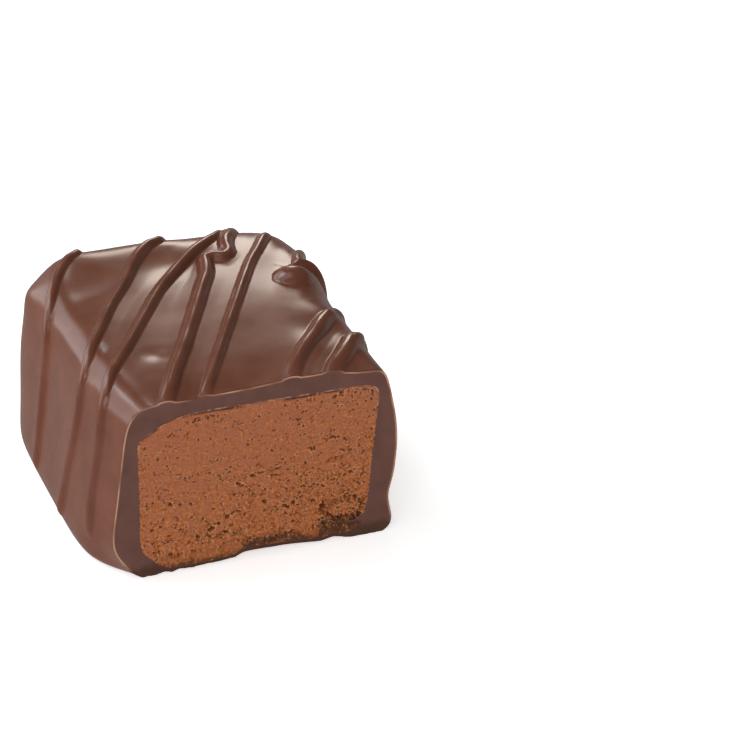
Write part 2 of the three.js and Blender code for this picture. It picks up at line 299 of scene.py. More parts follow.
def smooth_route(points, step):
    """Points a step apart along the smooth curve through the given ones."""
    ends = np.array([2 * points[0] - points[1], *points, 2 * points[-1] - points[-2]])
    route = []
    for before, start, stop, after in zip(ends, ends[1:], ends[2:], ends[3:]):
        gaps = (start - before, stop - start, after - stop)
        first, span, last = [max(np.linalg.norm(gap), TINY) ** 0.5 for gap in gaps]
        leave = (start - before) / first - (stop - before) / (first + span) + (stop - start) / span
        arrive = (stop - start) / span - (after - start) / (span + last) + (after - stop) / last
        leave = leave * span
        arrive = arrive * span
        count = max(2, math.ceil(np.linalg.norm(stop - start) / step))
        t = (np.arange(count) / count)[:, None]
        route.append(
            start + leave * t + (3 * (stop - start) - 2 * leave - arrive) * t**2
            + (2 * (start - stop) + leave + arrive) * t**3
        )
    route.append(points[-1][None])
    return np.concatenate(route)


def lay_bead(half_thickness, sink, points, seed):
    """A bead's route along the coating, with its half thickness and depth at each point."""
    laid = lay_on_coating(np.array(points, float))
    route = lay_on_coating(smooth_route(laid, ROUTE_STEP))
    run = np.concatenate([[0], np.cumsum(np.linalg.norm(np.diff(route, axis=0), axis=1))])
    to_end = np.minimum(run, run[-1] - run)
    dive = half_thickness * DIVE * np.maximum(0, 1 - to_end / TAIL) ** 2
    if half_thickness > DROP:
        dive = half_thickness * DIVE * (1 - np.sqrt(1 - (1 - to_end / to_end.max()) ** 2))
    swell = [noise.noise(Vector((along / UNEVEN_EVERY, seed, 0))) for along in run]
    return route, half_thickness * (1 + UNEVEN_BEAD * np.array(swell)), sink + dive


laid_beads = [lay_bead(*bead, seed) for seed, bead in enumerate(BEADS)]

COARSE_CELL = 0.46
FINE_REACH = (0.75, 0.4)  # from a bead's edge, where the cells are halved once, and twice
CUT_REACH = 0.7  # from the cut, where they are halved once
PAST_CUT = 0.6  # how far past the cut the cells along a bead are halved


def cells_on(half, cell):
    """A bmesh box of square cells, and its corners as directions."""
    bm = bmesh.new()
    bmesh.ops.create_cube(bm, size=2)
    bmesh.ops.scale(bm, vec=half, verts=bm.verts)
    for axis in range(3):
        rows = [e for e in bm.edges if abs((e.verts[0].co - e.verts[1].co)[axis]) > half[axis]]
        bmesh.ops.subdivide_edges(bm, edges=rows, cuts=round(2 * half[axis] / cell) - 1, use_grid_fill=True)
    return bm


def directions(bm):
    """The corners of a bmesh, as an array."""
    return np.array([v.co for v in bm.verts])


def move_to(bm, places):
    """Puts the corners of a bmesh in new places."""
    for v, place in zip(bm.verts, places):
        v.co = place
    bm.normal_update()


trees = []
for route, _, _ in laid_beads:
    tree = kdtree.KDTree(len(route))
    for i, place in enumerate(route):
        tree.insert(place, i)
    tree.balance()
    trees.append(tree)


def near_a_bead(place, reach):
    """Whether a place is within reach of the edge of a bead."""
    return any(tree.find(place)[2] < bead[0] + reach for tree, bead in zip(trees, BEADS))


bm = cells_on(BLOCK_HALF, COARSE_CELL)
rim_highlight = bm.verts.layers.float.new("rim_highlight")
smear_and_shade = bm.verts.layers.float.new("smear_and_shade")
for level, reach in enumerate(FINE_REACH):
    places = on_coating(directions(bm))
    near = [p[1] > CUT - PAST_CUT and near_a_bead(p, reach) for p in places]
    if level == 0:
        near = [n or abs(p[1] - CUT) < CUT_REACH for n, p in zip(near, places)]
    bm.verts.index_update()
    fine = {e for f in bm.faces if any(near[v.index] for v in f.verts) for e in f.edges}
    bmesh.ops.subdivide_edges(bm, edges=[e for e in bm.edges if e in fine], cuts=1, use_grid_fill=True)
bare = on_coating(directions(bm))
move_to(bm, bare)

STEEP = 1.5  # how fast a bead's section falls away past its half thickness
BEAD_REACH = 0.4  # how far past its half thickness its section is followed
FILLET = 0.1  # depth of the soft corner where a bead meets the coating
SKIRT = 0.09  # height of the swelling that a bead leaves in the coating beside it
SKIRT_WIDTH = 0.9
SKIRT_REACH = 2.5 * SKIRT_WIDTH
PILE = 0.55  # how much of what lies under it a crossing bead rides over
PRESSED = 0.6  # share of the beads' height that the knife pressed flat at the cut
PRESSED_REACH = 1.3
WAVE = 0.035  # unevenness of the coating between the beads
WAVE_EVERY = 4.5
# Dents in the top: the middle of each, its reach and its depth.
DENTS = [(-5.5, -6.4, 1, 0.1), (0, 8.6, 3, 0.3), (-8.5, 6, 3, 0.2), (9.6, -6.8, 2.2, 0.22)]

raised = np.array([WAVE * noise.noise(v.co / WAVE_EVERY) for v in bm.verts])
for x, y, reach, depth in DENTS:
    away = np.hypot(bare[:, 0] - x, bare[:, 1] - y)
    raised -= depth * np.exp(-((away / reach) ** 2)) * (bare[:, 2] > HEIGHT / 2)
skirts = np.zeros(len(bare))
for (route, half_thickness, sink), tree in zip(laid_beads, trees):
    reach = half_thickness.max() + SKIRT_REACH
    inside = ((bare > route.min(0) - reach) & (bare < route.max(0) + reach)).all(1)
    for i in np.flatnonzero(inside):
        _, nearest, away = tree.find(bare[i])
        if away > reach:
            continue
        r = half_thickness[nearest]
        stands = min(1, max(0, 2 * (1 - sink[nearest] / r)))  # a bead that dives under loses its skirt
        beside = SKIRT * stands * math.exp(-((away / (r + SKIRT_WIDTH)) ** 2))
        skirts[i] = max(skirts[i], beside)
        if away > r + BEAD_REACH:
            continue
        round_top = math.sqrt(max(r * r - away * away, 0)) - STEEP * max(away - r, 0)
        lift = round_top - sink[nearest] + PILE * max(raised[i], 0)
        meet = max(FILLET - abs(raised[i] - lift), 0) / FILLET
        raised[i] = max(raised[i], lift) + meet * meet * FILLET / 4
raised *= 1 - PRESSED * np.exp(-(((bare[:, 1] - CUT) / PRESSED_REACH) ** 2))
outwards = np.array([v.normal for v in bm.verts])
dressed = bare + outwards * (raised + skirts)[:, None]

# At the foot of the cut the knife broke little pieces off the edge: how high, by the place along it.
FOOT_BREAKS = [
    (-8.2, 0), (-7.5, 0.15), (-6.7, 0), (-6.2, 0.17), (-5, 0.08), (-4, 0.13), (-2.5, 0), (-1.1, 0),
    (-0.5, 0.28), (0, 0.28), (2, 0), (6.5, 0), (7.6, 0.33), (9, 0.05), (10.5, 0),
]
BREAKS_REACH = 0.9  # how far they go in under the piece
BREAKS_HEIGHT = 1.5  # how far up the walls move with them
breaks = np.interp(dressed[:, 0], *zip(*FOOT_BREAKS)) * np.clip(1 - dressed[:, 2] / BREAKS_HEIGHT, 0, 1)
dressed[:, 2] += breaks * np.exp(-((np.maximum(dressed[:, 1] - CUT, 0) / BREAKS_REACH) ** 2))
dressed[:, 2] = np.maximum(dressed[:, 2], 0)
move_to(bm, dressed)

# The knife's cut through the skin, then the thin burr that it pulled up all round the edge. Each row of the
# burr: its step inwards, how far it moves out of the cut, and how strong its painted tan highlight is.
BURR = [(0.05, 0.07, 1), (0.08, -0.05, 0.7), (0.06, -0.02, 0)]
BURR_EVERY = 1.7  # it swells and thins over about this length
TAN_EVERY = 1.6  # and so does its painted highlight
BURR_FOOT = 0.9  # height up to which it has no painted highlight
BURR_LEFT = -8.5  # left of this its painted highlight is strongest
LEFT_MORE = 0.3
ON_CUT = 0.15  # what lies this close to the cut belongs to it
TIDY = 0.045  # corners closer together than this along the cut are merged


def cut_through(bm):
    """Cuts a bmesh at the knife's plane and leaves it open there."""
    everything = bm.verts[:] + bm.edges[:] + bm.faces[:]
    bmesh.ops.bisect_plane(
        bm, geom=everything, dist=TINY, plane_co=(0, CUT, 0), plane_no=(0, -1, 0), clear_outer=True
    )
    open_corners = [v for v in bm.verts if v.is_boundary]
    bmesh.ops.remove_doubles(bm, verts=open_corners, dist=TIDY)


def open_lines(bm):
    """The closed lines of open edges, each as its corners one after the other, the longest line first."""
    left = {e for e in bm.edges if e.is_boundary}
    lines = []
    for edge in bm.edges:
        if edge not in left:
            continue
        line = [edge.verts[0]]
        while edge in left:
            left.discard(edge)
            corner = edge.other_vert(line[-1])
            line.append(corner)
            edge = next((e for e in corner.link_edges if e in left), edge)
        lines.append(line[:-1])
    return sorted(lines, key=lambda line: -sum(e.calc_length() for e in edges_of(line)))


def edges_of(line):
    """The edges between the corners of a closed line."""
    pairs = zip(line, line[1:] + line[:1])
    return [next(e for e in a.link_edges if e.other_vert(a) is b) for a, b in pairs]


def step_inwards(bm, line, inwards, proud):
    """Adds a row inside a closed line on the cut, moved along the cut and out of it, and returns it."""
    spots = np.array([v.co for v in line])
    ahead = np.roll(spots, -1, axis=0) - np.roll(spots, 1, axis=0)
    area = (spots[:, 0] * np.roll(spots[:, 2], -1) - np.roll(spots[:, 0], -1) * spots[:, 2]).sum()
    side = np.stack([-ahead[:, 2], np.zeros(len(ahead)), ahead[:, 0]], 1) * (1 if area > 0 else -1)
    side /= np.linalg.norm(side, axis=1)[:, None] + TINY
    new = bmesh.ops.extrude_edge_only(bm, edges=edges_of(line))["geom"]
    new_corners = {v for v in new if isinstance(v, bmesh.types.BMVert)}
    row = []
    for v, way, amount in zip(line, side, proud):
        twin = next(e.other_vert(v) for e in v.link_edges if e.other_vert(v) in new_corners)
        twin.co = v.co + Vector(way) * inwards
        twin.co.y -= amount
        row.append(twin)
    return row


cut_through(bm)

# The soft centre's block, which the hollow in the coating fits.
CENTRE_MIDDLE = np.array((1.25, BLOCK_MIDDLE[1] - END_WALL / 2, 8.2))
CENTRE_HALF = np.array((10.7, BLOCK_HALF[1] - END_WALL / 2, 6.95))
CENTRE_EDGES = {"plan": 9, "side": 14, "end": 14, "foot": 9}
CENTRE_TILT = 0.025  # how much its top falls towards the right, for each millimetre
CENTRE_LEAN = 0.1  # how much its right wall leans in towards the foot
CENTRE_DROP = 1.5  # how much lower its top is at the left wall
CENTRE_DROP_WIDTH = 2.9
OVERLAP = 0.12  # how far the centre and the coating are pressed into each other
HOLLOW_CELL = 0.6


def on_centre(direction, margin, share=1):
    """The points of the soft centre's outside in given directions, or a share of the way out to them."""
    half = CENTRE_HALF + margin
    p = on_rounded_block(direction, half, **CENTRE_EDGES) * share
    right = np.maximum(p[:, 0], 0)
    p[:, 0] += CENTRE_LEAN * (p[:, 2] - half[2]) * right / half[0]
    fall = CENTRE_TILT * (p[:, 0] + half[0] / 2)
    fall += CENTRE_DROP * np.exp(-(((p[:, 0] + half[0]) / CENTRE_DROP_WIDTH) ** 2))
    p[:, 2] -= fall * np.maximum(p[:, 2], 0) / half[2]
    return p + CENTRE_MIDDLE


hollow = cells_on(CENTRE_HALF, HOLLOW_CELL)
move_to(hollow, on_centre(directions(hollow), -OVERLAP))
bmesh.ops.reverse_faces(hollow, faces=hollow.faces)
cut_through(hollow)
hollow_mesh = bpy.data.meshes.new("hollow")
hollow.to_mesh(hollow_mesh)
hollow.free()
bm.from_mesh(hollow_mesh)
bpy.data.meshes.remove(hollow_mesh)
outer_line, inner_line = open_lines(bm)
for step, stands, tan_highlight in BURR:
    uneven = [0.65 + 0.7 * noise.noise(v.co / BURR_EVERY) for v in outer_line]
    outer_line = step_inwards(bm, outer_line, step, [stands * u for u in uneven])
    for v in outer_line:
        patchy = 0.55 + 1.1 * noise.noise(v.co / TAN_EVERY + Vector((0, 9, 0)))
        patchy += LEFT_MORE if v.co.x < BURR_LEFT else 0
        v[rim_highlight] = tan_highlight * min(1, max(0, patchy)) * min(1, max(0, (v.co.z - BURR_FOOT) / BURR_FOOT))
for v in outer_line:
    v.co.y = CUT
for f in bm.faces:
    if f.calc_center_median().z < BURR_FOOT and all(abs(v.co.y - CUT) < ON_CUT for v in f.verts):
        f.material_index = 1

# The cut face, in rows from the burr to the edge that the centre covers. Along the top that edge gets a
# painted tan highlight in places, where the centre came away from it.
CUT_ROWS = 8
LIP_WIDTH = 0.08
LIP_HIGHLIGHT_TAN = 0.8
ALONG_TOP = 12.5  # only what lies above this height belongs to the top edge of the centre
HOLLOW_EDGE = 0.09  # how far inside the outline of the centre's block the last row runs
TIGHT = 0.012  # least width of a row, as a share of the way from the middle
start = np.array([v.co for v in outer_line])
towards = (start - CENTRE_MIDDLE) * (1, 0, 1)
away = np.linalg.norm(towards, axis=1)


def ring_inside(margin, rows_left):
    """A row at a margin from the centre's block, or at the foot a few thin rows inside the burr."""
    offset = on_centre(towards, margin) - CENTRE_MIDDLE
    limit = (1 - TIGHT * rows_left) * away / np.linalg.norm(offset, axis=1)
    return (offset * np.minimum(1, limit)[:, None] + CENTRE_MIDDLE) * (1, 0, 1) + (0, CUT, 0)


plain_edge = ring_inside(LIP_WIDTH, 1)
rows = [start + (plain_edge - start) * step / CUT_ROWS for step in range(1, CUT_ROWS + 1)]
rows += [ring_inside(0, 2), ring_inside(-HOLLOW_EDGE, 3)]
for number, places in enumerate(rows):
    outer_line = step_inwards(bm, outer_line, 0, [0] * len(outer_line))
    for v, place in zip(outer_line, places):
        v.co = place
        v[rim_highlight] = 0
        if number == CUT_ROWS:
            # a painted tan highlight along the top edge
            patchy = 0.15 + 1.2 * noise.noise(v.co / 1.1) + 1.2 * noise.noise(v.co / 0.35)
            v[rim_highlight] = LIP_HIGHLIGHT_TAN * min(1, max(0, patchy)) * min(1, max(0, v.co.z - ALONG_TOP))
        for f in v.link_faces:
            f.material_index = 1
hidden = bmesh.ops.bridge_loops(bm, edges=edges_of(outer_line) + edges_of(inner_line))
for f in hidden["faces"]:
    f.material_index = 1

# The cut is a little wavy. Under the centre runs a rough strip, where the knife dragged crumbs over it and
# shadow is painted along the foot.
FOOT = 1.3  # height of the strip
FOOT_ENDS = (-9.5, 11.4)
FOOT_ROUGH = 0.12
FLOW = [(2.1, 0.05), (0.6, 0.012)]  # the waves: the length of each, and its height
for v in bm.verts:
    if not all(f.material_index for f in v.link_faces):
        continue
    flow = sum(noise.noise(v.co / length) * high for length, high in FLOW)
    # darker towards the foot: the dragged crumbs, and painted shadow along the foot edge
    v[smear_and_shade] = max(0, min(1, (FOOT + 0.35 * noise.noise(v.co / 0.8) - v.co.z) / 0.5))
    if FOOT_ENDS[0] < v.co.x < FOOT_ENDS[1]:
        flow += v[smear_and_shade] * FOOT_ROUGH * noise.noise(v.co / 0.3)
    v.co.y += flow

bmesh.ops.recalc_face_normals(bm, faces=bm.faces)
bmesh.ops.triangulate(bm, faces=[f for f in bm.faces if len(f.verts) > 4])


def new_object(name, bm):
    """A smooth object at the origin, from a bmesh in millimetres."""
    for f in bm.faces:
        f.smooth = True
    bmesh.ops.scale(bm, vec=(MM, MM, MM), verts=bm.verts)
    triangles = sum(len(f.verts) - 2 for f in bm.faces)
    print(name, "triangles", triangles, "open edges", sum(not e.is_manifold for e in bm.edges))
    mesh = bpy.data.meshes.new(name)
    bm.to_mesh(mesh)
    bm.free()
    made = bpy.data.objects.new(name, mesh)
    bpy.context.scene.collection.objects.link(made)
    return made


coating = new_object("chocolate_coating", bm)


# Chocolate is never one flat brown, since its cocoa butter clouds it. Grain gives that cloud and fine relief.
def make_grain():
    group = bpy.data.node_groups.new("grain", "ShaderNodeTree")
    group.interface.new_socket("Size", in_out="INPUT", socket_type="NodeSocketFloat")
    group.interface.new_socket("Depth", in_out="INPUT", socket_type="NodeSocketFloat")
    group.interface.new_socket("Cloud", in_out="OUTPUT", socket_type="NodeSocketFloat")
    group.interface.new_socket("Fine", in_out="OUTPUT", socket_type="NodeSocketFloat")
    group.interface.new_socket("Normal", in_out="OUTPUT", socket_type="NodeSocketVector")
    nodes = group.nodes
    links = group.links
    given = nodes.new("NodeGroupInput")
    put_out = nodes.new("NodeGroupOutput")
    where = nodes.new("ShaderNodeTexCoord")
    scaled = nodes.new("ShaderNodeVectorMath")
    scaled.operation = "SCALE"
    links.new(where.outputs["Object"], scaled.inputs[0])
    links.new(given.outputs["Size"], scaled.inputs["Scale"])
    cloud = nodes.new("ShaderNodeTexNoise")
    cloud.inputs["Scale"].default_value = 1
    cloud.inputs["Detail"].default_value = 4
    links.new(scaled.outputs[0], cloud.inputs["Vector"])
    fine = nodes.new("ShaderNodeTexNoise")
    fine.inputs["Scale"].default_value = 7
    fine.inputs["Detail"].default_value = 3
    links.new(scaled.outputs[0], fine.inputs["Vector"])
    bump = nodes.new("ShaderNodeBump")
    bump.inputs["Distance"].default_value = 0.05 * MM
    links.new(fine.outputs["Fac"], bump.inputs["Height"])
    links.new(given.outputs["Depth"], bump.inputs["Strength"])
    links.new(cloud.outputs["Fac"], put_out.inputs["Cloud"])
    links.new(fine.outputs["Fac"], put_out.inputs["Fine"])
    links.new(bump.outputs["Normal"], put_out.inputs["Normal"])
    return group


grain = make_grain()


def new_finish(name, size, depth):
    """A material with the grain in it: its nodes, links, shader and grain."""
    material = bpy.data.materials.new(name)
    material.use_nodes = True
    nodes = material.node_tree.nodes
    links = material.node_tree.links
    shader = nodes["Principled BSDF"]
    texture = nodes.new("ShaderNodeGroup")
    texture.node_tree = grain
    texture.inputs["Size"].default_value = size
    texture.inputs["Depth"].default_value = depth
    links.new(texture.outputs["Normal"], shader.inputs["Normal"])
    return material, nodes, links, shader, texture


def mix_in(nodes, links, amount, under, over):
    """Lays one colour over another by an amount. Colours are sockets or values."""
    mix = nodes.new("ShaderNodeMix")
    mix.data_type = "RGBA"
    for socket, value in (("Factor", amount), ("A", under), ("B", over)):
        inputs = [i for i in mix.inputs if i.name == socket and i.enabled]
        target = inputs[0] if socket == "Factor" else inputs[-1]
        if isinstance(value, bpy.types.NodeSocket):
            links.new(value, target)
        else:
            target.default_value = value
    return next(o for o in mix.outputs if o.enabled)


def spread(nodes, links, source, low, high, to_low, to_high):
    """Maps a value's range to another."""
    node = nodes.new("ShaderNodeMapRange")
    node.inputs["From Min"].default_value = low
    node.inputs["From Max"].default_value = high
    node.inputs["To Min"].default_value = to_low
    node.inputs["To Max"].default_value = to_high
    links.new(source, node.inputs["Value"])
    return node.outputs["Result"]


def attribute(nodes, name):
    """The value that the mesh holds under a name."""
    node = nodes.new("ShaderNodeAttribute")
    node.attribute_name = name
    return node.outputs["Fac"]


PER_MM = 1 / MM  # for the grain's scale
CLOUDED = (0.3, 0.7)  # the part of the cloud's range that is spread to the full one
CHOCOLATE_DARK = (0.145, 0.047, 0.024, 1)
CHOCOLATE_LIGHT = (0.185, 0.064, 0.036, 1)
CHOCOLATE_ROUGHNESS = (0.19, 0.24)
CHOCOLATE_IOR = 1.47
# painted highlight: the tan laid on the burr and on the top edge of the cut, for the light that their edges
# catch
RIM_HIGHLIGHT_TAN = (0.56, 0.31, 0.2, 1)
CUT_DARK = (0.117, 0.044, 0.03, 1)
CUT_LIGHT = (0.15, 0.06, 0.042, 1)
CUT_ROUGHNESS = 0.62
CUT_SPECULAR = 0.35
# the dragged crumbs' dark, which also paints the shadow along the foot of the cut
SMEAR_AND_SHADOW_DARK = (0.085, 0.032, 0.014, 1)

glossy, nodes, links, shader, texture = new_finish("milk_chocolate", 0.35 * PER_MM, 0)
cloud = spread(nodes, links, texture.outputs["Cloud"], *CLOUDED, 0, 1)
colour = mix_in(nodes, links, cloud, CHOCOLATE_DARK, CHOCOLATE_LIGHT)
colour = mix_in(nodes, links, attribute(nodes, "rim_highlight"), colour, RIM_HIGHLIGHT_TAN)
links.new(colour, shader.inputs["Base Color"])
roughness = spread(nodes, links, texture.outputs["Cloud"], *CLOUDED, *CHOCOLATE_ROUGHNESS)
links.new(roughness, shader.inputs["Roughness"])
shader.inputs["IOR"].default_value = CHOCOLATE_IOR

matt, nodes, links, shader, texture = new_finish("cut_chocolate", 0.5 * PER_MM, 0.25)
cloud = spread(nodes, links, texture.outputs["Cloud"], *CLOUDED, 0, 1)
colour = mix_in(nodes, links, cloud, CUT_DARK, CUT_LIGHT)
colour = mix_in(nodes, links, attribute(nodes, "smear_and_shade"), colour, SMEAR_AND_SHADOW_DARK)
colour = mix_in(nodes, links, attribute(nodes, "rim_highlight"), colour, RIM_HIGHLIGHT_TAN)
links.new(colour, shader.inputs["Base Color"])
shader.inputs["Roughness"].default_value = CUT_ROUGHNESS
shader.inputs["Specular IOR Level"].default_value = CUT_SPECULAR

coating.data.materials.append(glossy)
coating.data.materials.append(matt)
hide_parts("coating")
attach(coating, "root")

# ---- Soft centre ----
# Whipped chocolate and fat that sets short and crumbly. The knife tore its face into small pits and cracks,
# coarser towards the foot, broke a lump loose by the right foot and dragged crumbs over the coating below.

FACE_CELL = 0.064
FACE_OVER = 0.14  # how far its face is smeared over the coating's edge
EDGE_FALL = 0.1  # width over which that edge thins out
FACE_LEFT = -9.4
FACE_RIGHT = 11.8
FACE_FOOT = 1.3
FACE_TOP = 15.1

random.seed(5)


def slit(x, z, length, width, turn, depth):
    """One oval pit, turned by an angle in degrees."""
    return (x, z, length, width, math.radians(turn), depth)


def row_of_pits(points, size, depth):
    """A crack: small pits, one after the other along the given points, with gaps."""
    pits = []
    for (x0, z0), (x1, z1) in zip(points, points[1:]):
        long = math.hypot(x1 - x0, z1 - z0)
        turn = math.degrees(math.atan2(z1 - z0, x1 - x0))
        for _ in range(max(1, round(long / (2.1 * size)))):
            t = random.random()
            x = x0 + (x1 - x0) * t + random.gauss(0, 0.25 * size)
            z = z0 + (z1 - z0) * t + random.gauss(0, 0.25 * size)
            length = size * random.uniform(0.6, 1.3)
            width = length * random.uniform(0.35, 0.8)
            askew = turn + random.gauss(0, 30)
            pits.append(slit(x, z, length, width, askew, depth * random.uniform(0.6, 1.1)))
    return pits


PITS_IN_ONE = 7


def rough_pit(x, z, across, depth):
    """A larger pit: small ones that run into each other."""
    pits = []
    for _ in range(PITS_IN_ONE):
        away = random.uniform(0, 0.75) * across
        heading = random.uniform(0, 2 * math.pi)
        length = across * random.uniform(0.35, 0.6)
        width = length * random.uniform(0.4, 0.9)
        place = (x + away * math.cos(heading), z + 0.6 * away * math.sin(heading))
        pits.append(slit(*place, length, width, random.gauss(0, 40), depth * random.uniform(0.6, 1)))
    return pits


# Tears that show from a step away. Cracks: the points passed, the size of their pits and the depth.
LONG_CRACKS = [
    ([(7.3, 14.1), (8.3, 14.4), (9.3, 14.5), (10.4, 13.9)], 0.16, 0.35),
    ([(5.7, 9.4), (6.7, 10.2), (7.7, 10.3), (8.8, 9.9)], 0.16, 0.38),
    ([(8.3, 8.9), (9.6, 8.7)], 0.12, 0.28),
    ([(-5.1, 13.9), (-4.3, 14.5), (-3.4, 14.6), (-2.2, 14.4)], 0.14, 0.32),
    ([(-8, 7.9), (-7.6, 8.5), (-7, 8.1)], 0.08, 0.25),
    ([(-0.2, 9.9), (0.8, 9.6), (1.2, 10)], 0.09, 0.25),
    ([(0.4, 8), (0.8, 8.1), (1.3, 8.35)], 0.2, 0.42),
    ([(2.6, 7.7), (3.1, 7.65)], 0.14, 0.32),
    ([(4.5, 6.2), (5.1, 6), (5.5, 5.75), (6.3, 5.95), (6.8, 5.7)], 0.18, 0.4),
    ([(7.1, 6.2), (7.9, 6.1), (8.2, 5.85)], 0.13, 0.32),
    ([(9.2, 6.6), (9.7, 6.3)], 0.18, 0.38),
    ([(10.1, 6.1), (10.75, 6.35)], 0.17, 0.38),
    ([(3, 4.6), (3.75, 4.1)], 0.2, 0.42),
    ([(-1.95, 4.35), (-1.5, 4.6), (-1.1, 4.75)], 0.26, 0.48),
    ([(-0.9, 4.8), (0.8, 4.95)], 0.15, 0.33),
    ([(-7.05, 3.1), (-6.7, 3.35), (-6.35, 3.2)], 0.07, 0.22),
    ([(-5.55, 6.95), (-5.2, 7.55)], 0.1, 0.28),
    ([(-6.15, 5.6), (-6.15, 4.9)], 0.09, 0.26),
    ([(-7.7, 7.65), (-7.5, 8.1)], 0.08, 0.24),
    ([(6.75, 4.2), (6.7, 3.2)], 0.26, 0.55),
    ([(9.5, 4.3), (9.85, 3.8), (10, 3), (9.9, 2.2)], 0.22, 0.55),
    ([(7.1, 2.95), (7.1, 2.5)], 0.14, 0.45),
    ([(7.2, 2.7), (8, 2.45), (8.9, 2.2), (9.6, 2.15)], 0.15, 0.45),
    ([(5.6, 1.9), (5.8, 1.6)], 0.14, 0.4),
    ([(6.4, 2.6), (6.4, 2.1)], 0.14, 0.4),
]
# Pits: the middle of each, its size and its depth.
LARGE_PITS = [
    (4.6, 12.6, 0.22, 0.36), (3.4, 8.7, 0.2, 0.3), (-2.4, 8.6, 0.2, 0.3), (-0.8, 7.45, 0.3, 0.42),
    (-0.4, 7.2, 0.2, 0.36), (-6.8, 6.7, 0.34, 0.42), (-5.8, 6.5, 0.22, 0.36), (-5, 6.35, 0.22, 0.36),
    (-8.5, 4.5, 0.27, 0.38), (-4.35, 2.9, 0.24, 0.45), (-3.2, 3.5, 0.34, 0.5), (-2.6, 3.9, 0.24, 0.42),
    (-1.95, 3, 0.3, 0.45), (-2.35, 2.75, 0.24, 0.42), (-3.4, 2.8, 0.2, 0.42), (-3.8, 7.2, 0.15, 0.3),
    (-3, 5.5, 0.2, 0.28), (-3.9, 4.65, 0.18, 0.32), (-8.2, 2.15, 0.22, 0.36), (-6.9, 1.7, 0.26, 0.42),
    (-6.2, 1.6, 0.2, 0.4), (-1.25, 2.8, 0.2, 0.38), (-0.6, 2.5, 0.18, 0.34), (2.25, 7.7, 0.18, 0.36),
    (5.25, 8.2, 0.15, 0.3), (5.85, 7.6, 0.18, 0.26), (3.7, 6.85, 0.18, 0.32), (8.65, 6.35, 0.16, 0.34),
    (9.1, 7.2, 0.16, 0.32), (10.35, 5.35, 0.15, 0.3), (8.8, 4.5, 0.18, 0.36), (1.5, 5.3, 0.26, 0.42),
    (2.15, 6.35, 0.14, 0.28), (1.35, 6.3, 0.12, 0.26), (4.1, 4.55, 0.26, 0.42), (2.2, 4.25, 0.15, 0.3),
    (5.1, 3.5, 0.16, 0.36), (5, 4.1, 0.14, 0.3), (5.85, 4.45, 0.26, 0.32), (6.9, 4.75, 0.18, 0.32),
    (4, 2.7, 0.28, 0.45), (2.15, 2.4, 0.16, 0.32), (-3.2, 14.4, 0.2, 0.32), (8.5, 14.2, 0.18, 0.32),
    (9.4, 14, 0.18, 0.32),
]
TEARS = [pit for crack in LONG_CRACKS for pit in row_of_pits(*crack)]
TEARS += [pit for large in LARGE_PITS for pit in rough_pit(*large)]

LOOSE_PITS = 520
CLUSTERS = 40  # short strings of small pits


def coarseness(x, z):
    """How coarse the crumb is at a place on the face: least at the top left, most by the right foot."""
    down = (FACE_TOP - z) / (FACE_TOP - FACE_FOOT)
    right = (x - FACE_LEFT) / (FACE_RIGHT - FACE_LEFT)
    return min(1, max(0.15, 0.12 + 0.62 * max(down, 0) ** 1.3 + 0.3 * right * (0.4 + 0.6 * down)))


def place_on_face():
    """A random place, likelier where the crumb is coarse."""
    while True:
        x = random.uniform(FACE_LEFT, FACE_RIGHT)
        z = random.uniform(FACE_FOOT, FACE_TOP)
        if random.random() < 0.3 + 0.7 * coarseness(x, z):
            return x, z


for _ in range(LOOSE_PITS):
    x, z = place_on_face()
    length = random.uniform(0.06, 0.15) * (0.8 + 0.4 * coarseness(x, z))
    width = length * random.uniform(0.5, 0.95)
    TEARS.append(slit(x, z, length, width, random.gauss(-20, 40), random.uniform(0.1, 0.24)))
for _ in range(CLUSTERS):
    x, z = place_on_face()
    heading = random.gauss(0, 45)
    for _ in range(random.randint(3, 7)):
        length = random.uniform(0.06, 0.13)
        turn = heading + random.gauss(0, 35)
        width = length * random.uniform(0.4, 0.8)
        TEARS.append(slit(x, z, length, width, turn, random.uniform(0.14, 0.3)))
        x += math.cos(math.radians(heading)) * random.uniform(0.15, 0.32) + random.gauss(0, 0.06)
        z += math.sin(math.radians(heading)) * random.uniform(0.15, 0.32) + random.gauss(0, 0.06)
        heading += random.gauss(0, 30)

bm = bmesh.new()
bmesh.ops.create_grid(
    bm,
    x_segments=round(2 * CENTRE_HALF[0] / FACE_CELL),
    y_segments=round(2 * CENTRE_HALF[2] / FACE_CELL),
    size=1,
)
flat = directions(bm)
share = np.abs(flat[:, :2]).max(1)
towards = np.stack([flat[:, 0] * CENTRE_HALF[0], 0 * share, flat[:, 1] * CENTRE_HALF[2]], 1) + TINY
edge = on_centre(towards, FACE_OVER)
face = on_centre(towards, FACE_OVER, share[:, None])
to_edge = np.linalg.norm(edge - face, axis=1)

# Below the centre the crumbs reach down over the coating. Their lower edge is given as (x, z) along the foot.
SMEAR_FROM = 2.2  # height from which the face is drawn down
RIGHT_FOOT = 8  # right of this the crumbs were pushed to the right too
SMEAR_ASIDE = 0.6
SMEAR_EDGE = [
    (-9.6, 1.9), (-8.8, 1.3), (-7.9, 0.5), (-7, 0.15), (-2, 0.2), (-0.9, 0.5), (-0.4, 0.85), (2, 0.75),
    (5, 0.5), (6.5, 0.35), (7.6, 0.5), (8.5, 0.25), (10.2, 0.2), (10.9, 0.7), (11.4, 1.9),
]
